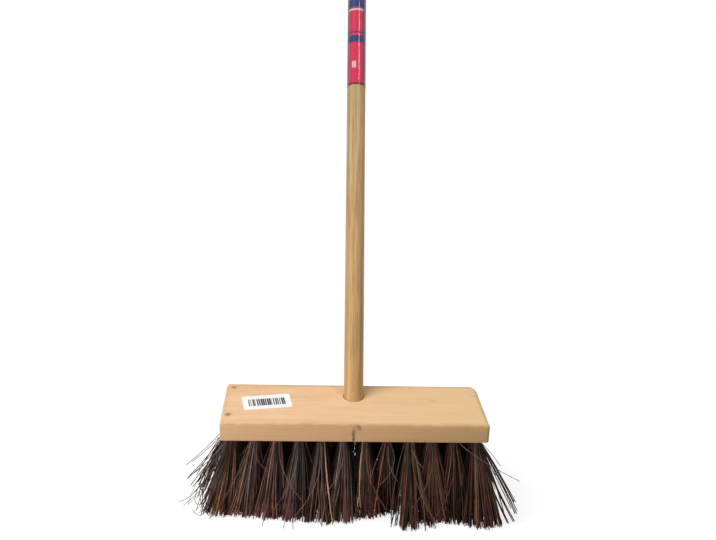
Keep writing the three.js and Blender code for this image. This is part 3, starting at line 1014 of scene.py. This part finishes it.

# %% [markdown]
# Palm fibre
#
# The fibres are stiff, dark stems from palm leaves: most are brown to nearly black, some are maroon, orange
# or olive, and a few are pale tan. A material for each colour would be hard to keep in step. Instead each
# strand carries two numbers, its tint and its shade, and each point of it how far along the strand it lies.
# The shade is partly the strand's own darkness and partly painted light and shade: lighter tufts at the
# left end, darker rows inside the broom. They are stored on the mesh as attributes, and one material turns
# them into a colour for thousands of strands.

# %% Fibre material
TINTS = [  # tint, colour
    (0.00, (112, 106, 106)),
    (0.22, (132, 112, 104)),
    (0.42, (142, 114, 96)),
    (0.58, (134, 86, 80)),
    (0.72, (170, 104, 76)),
    (0.84, (166, 140, 104)),
    (0.94, (176, 136, 90)),
    (1.00, (226, 186, 134)),
]
RIB_SCALES = (3000, 3000, 60)

fibre, place = new_finish("palm_fibre")


def carried(label):
    """A number that the mesh carries at each point."""
    return put(fibre.node_tree, "Attribute", attribute_name=label).outputs["Fac"]


tint, shade, along = carried("tint"), carried("shade"), carried("along")
ramp = put(fibre.node_tree, "ValToRGB", {0: tint})
elements = ramp.color_ramp.elements
while len(elements) < len(TINTS):
    elements.new(0.5)
for element, (position, shown_as) in zip(elements, TINTS):
    element.position, element.color = position, srgb(*shown_as)
worn = use(marks, place, {"Tone Scale": 70.0})
fibre_finish = {
    "Base Color": layered(
        ramp.outputs[0],
        (span(along, 0.45, 1.0), 0.36, (146, 74, 54)),
        # the shade darkens each strand: its own darkness, with painted light and shade
        (sums("SUBTRACT", 1.0, shade), 1.0, (16, 10, 8)),
        (worn["Tone"], 0.3, (22, 14, 11)),
    ),
    "Roughness": span(worn["Tone"], 0.0, 1.0, 0.5, 0.68),
    "IOR": 1.4,
    "Specular IOR Level": 0.15,
    "Normal": bumped(streaky(place, RIB_SCALES, detail=2.0), strength=0.3, depth=0.1 * MM),
}
complete(fibre, fibre_finish)

# %% [markdown]
# Paths of the strands
#
# A particle system could grow hair here, but it would not export as closed meshes and its trim is hard to
# steer. Instead each strand is a thin tube along a path: up inside its hole, out at the hole's mouth,
# splayed and trimmed near the floor. Numpy works out the paths of all strands of a tuft at once.

# %% Strand paths
STRAND_RINGS = 7
ROOT_RISE = 6 * MM
FLARE = 1.06


def strand_paths(start, offset, bow, end_z):
    """Paths from roots inside the holes to their tips: shape (strands, rings, 3)."""
    top = UNDERSIDE + ROOT_RISE
    z = top + (end_z[:, None] - top) * np.linspace(0, 1, STRAND_RINGS)
    fall = np.clip((UNDERSIDE - z) / (UNDERSIDE - end_z)[:, None], 0, 1)[:, :, None]
    level = start[:, None, :] + offset[:, None, :] * fall**FLARE + bow[:, None, :] * 4 * fall * (1 - fall)
    return np.concatenate([level, z[:, :, None]], 2)


def sunflower(count, phase=0.0):
    """Points spread evenly over a disc of radius 1, as the seeds of a sunflower are."""
    turn = phase + np.arange(count) * math.pi * (3 - math.sqrt(5))
    reach = np.sqrt((np.arange(count) + 0.5) / count)
    return np.stack([reach * np.cos(turn), reach * np.sin(turn)], 1)


print("strand paths have", STRAND_RINGS, "rings each")

# %% [markdown]
# One tuft
#
# The strands of a tuft gather in a few locks. Some cross into the next lock, some are thick and light, and
# a few stray. In the front row the rear half of each tuft is spread wider and darkened with painted shade,
# in most tufts nearly black, which stands in for the depth that shows between the locks. Random numbers
# come from one seeded source, so every run grows the same broom.

# %% Growing a tuft
SEED = 1608
STRANDS = {"front": 150, "mid_front": 95, "mid_back": 80, "back": 90}
TIP_SPREAD = {"front": (18, 5.5), "mid_front": (22, 14), "mid_back": (22, 17), "back": (20, 12)}  # in mm
SPREAD_VARIES = (0.85, 1.15)
LOCKS = 7
LOCK_HOLD = {"front": 0.6, "mid_front": 0.85, "mid_back": 0.85, "back": 0.65}
LOCK_PUSH, TIP_SCATTER = np.array([3.6, 1.4]) * MM, np.array([2.4, 1.4]) * MM
LOCK_TINT, LOCK_SHADE = 0.13, 0.16
CROSSING_SHARE, CROSSING_REACH = 0.16, 3.6
BOW = 1.8 * MM
TRIM, TRIM_UNEVEN = 0.4 * MM, 1.1 * MM
SHORT_SHARE, SHORT_BY = 0.05, 8 * MM
STRAY_SHARE, STRAY_REACH, STRAY_BOW, STRAY_SHORT, STRAY_THIN = 0.03, 12 * MM, 2.2, 22 * MM, 0.7
ROOT_REACH, ROOT_SCATTER = 3.8 * MM, 0.3 * MM
RADII, THICK_RADII, THICK_SHARE = (0.42, 0.82), (0.8, 1.0), 0.14  # radii in mm
THICK_SHADES, THICK_TINTS = (0.6, 1.2), (0.0, 0.35)
MIDDLE_TINT, TINT_VARIES, MOST_TINT, MOST_THICK_TINT = 0.38, 0.20, 0.97, 0.95
SHADE_CURVE, LEAST_SHADE = (0.75, 0.8), 0.02
FILL_WIDER, FILL_PAINTED_SHADE = np.array([1.3, 1.0]), 0.12
source = np.random.default_rng(SEED)


def grow_tuft(row, spot, lean, tint_shift, painted_light_and_tone):
    """One tuft's strands: paths, radii, tints and shades."""
    count = STRANDS[row]
    disc = sunflower(count)
    filling = (disc[:, 1] > 0) & (row == "front")
    lock_middle = sunflower(LOCKS, source.uniform(0, 2 * math.pi))
    lock = np.argmin(np.linalg.norm(disc[:, None] - lock_middle[None], axis=2), axis=1)
    gathered = lock_middle[lock] + (disc - lock_middle[lock]) * LOCK_HOLD[row]
    gathered[filling] = disc[filling] * FILL_WIDER
    lock_push = source.normal(0, 1, (LOCKS, 2)) * LOCK_PUSH
    spread = np.array(TIP_SPREAD[row]) * MM * source.uniform(*SPREAD_VARIES)
    scatter = source.normal(0, 1, (count, 2)) * TIP_SCATTER
    scatter[source.random(count) < CROSSING_SHARE, 0] *= CROSSING_REACH
    offset = lean + gathered * spread + lock_push[lock] + scatter
    bow = source.normal(0, BOW, (count, 2))
    end_z = TRIM + np.abs(source.normal(0, TRIM_UNEVEN, count))
    end_z[source.random(count) < SHORT_SHARE] += SHORT_BY
    stray = source.random(count) < STRAY_SHARE
    offset[stray] += source.normal(0, STRAY_REACH, (stray.sum(), 2))
    bow[stray] *= STRAY_BOW
    end_z[stray] += source.uniform(0, STRAY_SHORT, stray.sum())
    start = np.array(spot) + disc * ROOT_REACH + source.normal(0, ROOT_SCATTER, (count, 2))
    radius = source.uniform(*RADII, count) * MM
    radius[stray] *= STRAY_THIN
    thick = source.random(count) < THICK_SHARE
    radius[thick] = source.uniform(*THICK_RADII, thick.sum()) * MM
    lock_tint = source.normal(0, LOCK_TINT, LOCKS)
    lock_shade = source.normal(0, LOCK_SHADE, LOCKS)
    tint = MIDDLE_TINT + tint_shift + lock_tint[lock] + source.normal(0, TINT_VARIES, count)
    tint = np.clip(tint, 0, MOST_TINT)
    # the tuft's lightness, partly painted light and shade, scales each strand's shade
    shade = np.clip((source.beta(*SHADE_CURVE, count) + lock_shade[lock]) * painted_light_and_tone, LEAST_SHADE, 1)
    shade[thick] = np.clip(source.uniform(*THICK_SHADES, thick.sum()) * painted_light_and_tone, 0, 1)
    tint[thick] = np.clip(tint[thick] + source.uniform(*THICK_TINTS, thick.sum()), 0, MOST_THICK_TINT)
    # painted shade: the rear half of each front tuft is darkened, more in darker tufts
    shade[filling] *= FILL_PAINTED_SHADE * painted_light_and_tone**2
    return strand_paths(start, offset, bow, end_z), radius, tint, shade


print("a tuft has", LOCKS, "locks and", STRANDS, "strands")

# %% [markdown]
# Single strands
#
# A broom is told by the strands that don't follow: bent ones that fan out past both ends of the stock, fine
# hairs that hang over the front, a few pale ones that cross it, and at the right end some that stick
# together. Chance wouldn't put them where a photograph shows them, so they are listed one by one, each from
# the outer side of a tuft's hole to its own tip. Five curl so much that a Bezier curve has to lead them.

# %% Single strands of the front row
FRONT_SINGLES = [  # tuft, tip, bow along X and radius in mm, tint, shade
    (0, (-203, -62, 62), 3, 0.56, 0.2, 0.5),
    (0, (-200, -60, 50), -2, 0.62, 0.2, 0.4),
    (0, (-196, -60, 40), 4, 0.66, 0.3, 0.4),
    (0, (-184, -60, 68), 2, 0.62, 0.2, 0.4),
    (0, (-192, -58, 31), -6, 0.6, 0.3, 0.4),
    (0, (-187, -60, 22), -9, 0.56, 0.3, 0.3),
    (0, (-194, -60, 14), -5, 0.46, 0.1, 0.7),
    (0, (-186, -58, 8), 3, 0.66, 0.35, 0.5),
    (0, (-188, -54, 46), 4, 0.62, 0.3, 0.4),
    (0, (-184, -60, 34), 2, 0.68, 0.4, 0.3),
    (0, (-182, -52, 14), 4, 0.66, 0.4, 0.3),
    (0, (-189, -56, 4), -4, 0.6, 0.3, 0.4),
    (0, (-188, -60, 24), -14, 0.44, 0.2, 0.4),
    (0, (-182, -62, 12), -17, 0.4, 0.3, 0.5),
    (0, (-204, -56, 20), 8, 0.34, 0.05, 1.0),
    (0, (-198, -58, 8), 7, 0.34, 0.1, 0.9),
    (1, (-176, -58, 3), 4, 0.46, 0.4, 0.7),
    (1, (-104, -72, 76), -9, 0.34, 0.6, 0.9),
    (2, (-62, -80, 40), -10, 0.34, 0.2, 1.0),
    (3, (-100, -80, 26), 10, 0.36, 0.3, 0.9),
    (4, (-72, -80, 20), 13, 0.36, 0.25, 1.0),
    (5, (-36, -78, 50), 9, 0.34, 0.1, 1.0),
    (6, (40, -78, 28), -10, 0.36, 0.3, 0.9),
    (7, (30, -74, 60), 14, 0.36, 0.05, 1.0),
    (7, (52, -74, 66), -7, 0.34, 0.05, 1.0),
    (8, (82, -76, 86), -5, 0.32, 0.2, 1.0),
    (8, (102, -86, 14), -10, 0.36, 0.4, 0.9),
    (9, (70, -84, 34), 12, 0.36, 0.1, 0.9),
    (10, (98, -84, 18), 12, 0.34, 0.6, 0.8),
    (2, (-112, -74, 1), 2, 0.46, 0.35, 0.5),
    (3, (-86, -78, 1), 3, 0.44, 0.2, 0.6),
    (3, (-74, -80, 1), -2, 0.44, 0.2, 0.6),
    (4, (-25, -70, 1), -1, 0.78, 1.0, 0.95),
    (5, (-30, -60, 2), 2, 0.4, 0.95, 0.8),
    # these six, nearly black behind the front row, are painted shade in the gap beside the socket
    (5, (4, -42, 3), 4, 0.65, 0.1, 0.06),
    (5, (9, -38, 4), 5, 0.62, 0.15, 0.05),
    (5, (1, -46, 2), 3, 0.6, 0.2, 0.1),
    (6, (-5, -42, 3), -4, 0.65, 0.1, 0.06),
    (6, (-10, -38, 4), -5, 0.62, 0.15, 0.05),
    (6, (2, -46, 2), -3, 0.6, 0.2, 0.1),
    (6, (9, -64, 22), -3, 0.6, 1.0, 0.85),
    (7, (18, -55, 40), -3, 0.38, 0.95, 0.6),
    (7, (26, -60, 2), -1, 0.66, 0.72, 0.95),
    (8, (72, -72, 2), -1, 0.5, 0.97, 0.8),
    (8, (88, -70, 4), 2, 0.45, 0.95, 0.8),
    (10, (112, -58, 30), 3, 0.38, 0.95, 0.8),
    (11, (180, -60, 80), 3, 0.42, 0.1, 0.7),
    (11, (203, -64, 31), 2, 0.72, 0.25, 0.25),
    (11, (206, -64, 14), 3, 0.78, 0.2, 0.25),
    (11, (204, -66, 4), -2, 0.8, 0.3, 0.2),
    (11, (195, -64, 40), 4, 0.62, 0.2, 0.35),
    (11, (197, -66, 1), -3, 0.74, 0.3, 0.3),
    (11, (192, -64, 8), 3, 0.76, 0.2, 0.2),
    (11, (187, -66, 1), -2, 0.72, 0.3, 0.4),
    (11, (199, -62, 20), 1, 0.64, 0.15, 0.3),
    (11, (190, -62, 26), -2, 0.7, 0.2, 0.2),
    (11, (185, -60, 34), 1, 0.66, 0.25, 0.25),
    (11, (183, -62, 12), 2, 0.72, 0.3, 0.25),
    (11, (201.6, -63, 30), 2, 0.66, 0.25, 0.2),
    (11, (204.4, -63, 13), 3, 0.72, 0.2, 0.2),
    (11, (206.8, -63, 17), 3, 0.6, 0.2, 0.3),
    (11, (202.4, -65, 3), -2, 0.74, 0.3, 0.2),
    (11, (195.4, -65, 1), -3, 0.7, 0.3, 0.25),
]
print(len(FRONT_SINGLES), "single strands in the front row")

# %% Single strands behind and curled strands
REAR_SINGLES = [  # at the left end of the third row, in the same order
    (0, (-213, -8, 46), 2, 0.5, 0.05, 0.9),
    (0, (-206, -4, 48), 4, 0.46, 0.1, 0.8),
    (0, (-206, -26, 42), 3, 0.6, 0.15, 0.5),
    (0, (-210, -20, 33), 5, 0.52, 0.1, 0.6),
    (0, (-198, -22, 40), -2, 0.62, 0.2, 0.4),
    (0, (-203, -24, 24), 3, 0.56, 0.2, 0.4),
]
SINGLES = {"front": FRONT_SINGLES, "mid_back": REAR_SINGLES}
CURLED_STRANDS = [  # of the front row: tuft, two curve handles, tip and radius in mm, tint, shade
    (0, (-193, -50, 51), (-208, -58, 13), (-185, -60, 24), 0.42, 0.3, 0.35),
    (0, (-181, -50, 47), (-200, -58, 28), (-215, -62, 28), 0.42, 0.05, 1.0),
    (0, (-178, -50, 37), (-178, -58, -16), (-199, -60, 14), 0.36, 0.05, 1.0),
    (0, (-178, -50, 46), (-191, -58, 17), (-177, -60, 5), 0.5, 0.3, 0.4),
    (10, (132, -75, 107), (166, -80, 90), (205, -66, 62), 0.42, 0.05, 1.0),
]
SINGLE_ROOT, SINGLE_SCATTER = np.array([2.6, 2.9]) * MM, np.array([1.0, 0.4]) * MM
SINGLE_BOW = -3  # in mm along Y
CURL_RINGS = 16


def by_column(table):
    """A table's columns as arrays."""
    return [np.array(column) for column in zip(*table)]


def outer_roots(tufts, tips, spots):
    """Where strands leave their holes: spread over the outer front side, so that no two share a root."""
    middles = np.array([spots[tuft] for tuft in tufts])
    outward = np.stack([np.sign(tips[:, 0] - middles[:, 0]), -np.ones(len(tufts))], 1)
    return middles + outward * SINGLE_ROOT + sunflower(len(tufts)) * SINGLE_SCATTER


def single_strands(placed, spots):
    """The strands that are placed by hand, in the same form as a tuft's."""
    tufts, tips, bows, radius, tint, shade = by_column(placed)
    tips = tips * MM
    start = outer_roots(tufts, tips, spots)
    bow = np.stack([bows, np.full(len(placed), SINGLE_BOW)], 1) * MM
    return strand_paths(start, tips[:, :2] - start, bow, tips[:, 2]), radius * MM, tint, shade


def curled_strands(placed, spots):
    """The curled strands, as Bezier curves from the mouths of their holes."""
    tufts, first, second, last, radius, tint, shade = by_column(placed)
    mouth = np.column_stack([outer_roots(tufts, last * MM, spots), np.full(len(tufts), UNDERSIDE)])[:, None]
    first, second, last = (points[:, None] * MM for points in (first, second, last))
    t = np.linspace(0, 1, CURL_RINGS)[None, :, None]
    curve = mouth * (1 - t) ** 3 + 3 * first * t * (1 - t) ** 2 + 3 * second * t**2 * (1 - t) + last * t**3
    return np.concatenate([mouth + np.array([0, 0, ROOT_RISE]), curve], 1), radius * MM, tint, shade


print(len(FRONT_SINGLES) + len(REAR_SINGLES), "single strands and", len(CURLED_STRANDS), "curled ones")

# %% [markdown]
# A place for each strand's colour
#
# A model that leaves Blender carries its colours in a picture, and a UV map says which spot of the picture
# each face reads. An automatic unwrap cuts thousands of thin strands into slivers narrower than a pixel,
# and their colours run together. So every strand gets a square cell of its own: U runs round the strand and
# V along it, and its two ends are small discs in the cell's margin. The export keeps a map that has this
# name.

# %% Strand cells
CELL_MAP = "OFBake"
CELL_MARGIN = 0.1
STRAND_SIDES = 5
STRAND_ANGLES = 2 * math.pi * np.arange(STRAND_SIDES)[:, None] / STRAND_SIDES


def strand_cells(count, rings):
    """UV places for every face corner: all tubes' quads first, then the root caps and the tip caps."""
    columns = math.ceil(math.sqrt(count))
    number = np.arange(count)
    cell = np.stack([number % columns, number // columns], 1)
    across = (np.arange(STRAND_SIDES)[None, :, None] + np.array([0, 1, 1, 0])) / STRAND_SIDES
    down = (np.arange(rings - 1)[:, None, None] + np.array([0, 0, 1, 1])) / (rings - 1)
    tube = np.stack(np.broadcast_arrays(across, down), 3).reshape(-1, 2)
    disc = np.hstack([np.cos(STRAND_ANGLES), np.sin(STRAND_ANGLES)]) * CELL_MARGIN / 2
    shapes = (
        CELL_MARGIN + (1 - 2 * CELL_MARGIN) * tube,
        disc[::-1] + np.array([0.5, CELL_MARGIN / 2]),
        disc + np.array([0.5, 1 - CELL_MARGIN / 2]),
    )
    return np.concatenate([(cell[:, None] + shape).reshape(-1, 2) for shape in shapes]) / columns


print("strand cells ready, margin", CELL_MARGIN)

# %% [markdown]
# Tubes along the paths
#
# All strands of a row become one mesh of closed tubes. The curled ones have more rings, so they are a mesh
# of their own. A curve object with a bevel would give tubes too, but not one attribute value for each
# strand. Numpy builds the points and faces of all tubes at once, which is far quicker than adding them one
# at a time.

# %% Fibre meshes
SIDE_HINT = np.array([0.31, 0.95, 0.0])
TAPER_AT, TAPER = (0, 0.6, 1), (0.9, 1.0, 0.88)


def unit(directions):
    """Directions made one unit long."""
    return directions / np.linalg.norm(directions, axis=2, keepdims=True)


def strand_mesh(name, paths, thick, tints, shades):
    """One closed tube for each path, all in one mesh."""
    count, rings, _ = paths.shape
    share = np.linspace(0, 1, rings)
    run = unit(np.gradient(paths, axis=1))
    side = unit(np.cross(run, SIDE_HINT))
    other = np.cross(run, side)
    around = np.cos(STRAND_ANGLES) * side[:, :, None] + np.sin(STRAND_ANGLES) * other[:, :, None]
    radius = thick[:, None] * np.interp(share, TAPER_AT, TAPER)
    points = (paths[:, :, None] + radius[:, :, None, None] * around).reshape(-1, 3)
    points[:, 2] = np.maximum(points[:, 2], 0)
    corners = np.arange(len(points)).reshape(count, rings, STRAND_SIDES)
    beside = np.roll(corners, -1, axis=2)
    quads = np.stack([corners[:, :-1], beside[:, :-1], beside[:, 1:], corners[:, 1:]], 3).reshape(-1, 4)
    caps = corners[:, 0, ::-1].tolist() + corners[:, -1].tolist()
    mesh = bpy.data.meshes.new(name)
    mesh.from_pydata(points.tolist(), [], quads.tolist() + caps)
    mesh.uv_layers.new(name=CELL_MAP).uv.foreach_set("vector", strand_cells(count, rings).ravel())
    numbers = {"tint": tints[:, None, None], "shade": shades[:, None, None], "along": share[:, None]}
    for label, values in numbers.items():
        values = np.broadcast_to(values, corners.shape).ravel()
        mesh.attributes.new(label, "FLOAT", "POINT").data.foreach_set("value", values)
    bm = bmesh.new()
    bm.from_mesh(mesh)
    bpy.data.meshes.remove(mesh)
    return finished(bm, name, fibre, sharp=60)


print("strand tubes have", STRAND_SIDES, "sides")

# %% [markdown]
# Growing the rows
#
# The front row follows the photograph: how far each of its tufts leans forward sets its lower outline, and
# each has a tint of its own and a lightness that is partly its own tone and partly painted light, lighter
# at the left end and darker to the right. Behind it chance is enough, with a lean for each row and a sway
# that grows towards the ends. Beside the socket, where there are no tufts, the neighbours sway inwards and
# close up most of the gap. Rows inside the broom are darkened with painted shade, because little light
# gets in.

# %% Fibre rows
FRONT_SWAY = [-16, -13, -11, -7, -4, -2, -1, 0, 4, 5, 7, 11]  # in mm along X
FRONT_LEAN = [8, 10, 17, 19, 22, 22, 14, 4, 34, 24, 22, 34]  # in mm forwards
FRONT_TINT = [0.02, 0.02, 0.02, -0.08, -0.10, 0.12, 0.20, 0.02, 0.22, 0.12, 0.14, 0.20]
# lightness of each front tuft: partly its own tone, partly painted light that falls off to the right
FRONT_LIGHT_AND_TONE = [2.3, 2.1, 1.35, 0.8, 0.76, 0.78, 0.8, 0.58, 0.74, 0.6, 0.58, 0.58]
ROW_LEAN = {"mid_front": -20, "mid_back": 0, "back": 17}  # in mm backwards
ROW_SWAY, SOCKET_SWAY, SOCKET_REACH = 0.145, -0.3, 34 * MM
# painted shade for the rows inside the broom
ROW_PAINTED_SHADE = {"mid_front": 0.3, "mid_back": 0.3, "back": 1.0}


def habit(row, number, spot):
    """How a tuft leans, the shift of its tint, and its lightness: its own tone with painted light and
    shade.
    """
    if row == "front":
        lean = np.array([FRONT_SWAY[number], -FRONT_LEAN[number]]) * MM
        return lean, FRONT_TINT[number], FRONT_LIGHT_AND_TONE[number]
    sway = SOCKET_SWAY if abs(spot.x) < SOCKET_REACH else ROW_SWAY
    return np.array([sway * spot.x, ROW_LEAN[row] * MM]), 0.0, ROW_PAINTED_SHADE[row]


for row in ROWS:
    spots = tuft_spots(row)
    grown = [grow_tuft(row, spot, *habit(row, number, spot)) for number, spot in enumerate(spots)]
    if row in SINGLES:
        grown.append(single_strands(SINGLES[row], spots))
    strands = [np.concatenate(part) for part in zip(*grown)]
    dress(strand_mesh(f"fibres_{row}", *strands), f"tufts_{row}")
curled = curled_strands(CURLED_STRANDS, tuft_spots("front"))
dress(strand_mesh("fibres_curled", *curled), "tufts_front")

# %% [markdown]
# Steel wire
#
# The staples are hidden in the wood, and their CAD shapes are right as they are. They could be left grey,
# but a finish costs little: drawn steel with fine scratches along the wire and spots of rust.

# %% Steel
SCRATCH_SCALES = (9000, 9000, 300)

steel, place = new_finish("drawn_steel")
worn = use(marks, place, {"Tone Scale": 260.0, "Speck Scale": 900.0})
steel_finish = {
    "Base Color": layered(
        srgb(176, 176, 174),
        (worn["Tone"], 1.0, (140, 139, 136)),
        (worn["Specks"], 0.6, (120, 74, 44)),
    ),
    "Metallic": 1.0,
    "Roughness": span(streaky(place, SCRATCH_SCALES, detail=2.0), 0.2, 0.8, 0.25, 0.5),
}
complete(steel, steel_finish)
staples = [node for name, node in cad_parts.items() if name.startswith("staple_")]
for staple in staples:
    staple.data.materials.clear()
    staple.data.materials.append(steel)
print("steel on", len(staples), "staples")

# %% [markdown]
# Nail
#
# One nail pins the handle in its socket. Only its head shows, at the back edge of the stock. A nail is a
# turned shape, so a few rings of points along its axis are enough for the point, the shank and a round
# head, slightly crowned, that stands a hair proud of the wood as a hammered head does.

# %% Nail
NAIL_SIDES = 28
NAIL_OUTLINE = [  # millimetres along the nail from its point, radius
    (0.0, 0.15),
    (4.0, 1.32),
    (43.6, 1.32),
    (43.8, 2.85),
    (44.1, 3.0),
    (44.9, 3.0),
    (45.15, 2.8),
    (45.3, 1.9),
    (45.36, 0.7),
]


def nail_ring(y, radius):
    """One turn of the nail, which lies along Y."""
    return [(x, nail_low.y + y, NAIL_LEVEL + z) for x, z, _ in circle(0, 0, 0, radius, NAIL_SIDES)]


bm = bmesh.new()
rings = skin(bm, [nail_ring(y * MM, radius * MM) for y, radius in NAIL_OUTLINE])
bm.faces.new(rings[0])
bm.faces.new(rings[-1])
dress(finished(bm, "nail_turned", steel, sharp=40), "handle_nail")
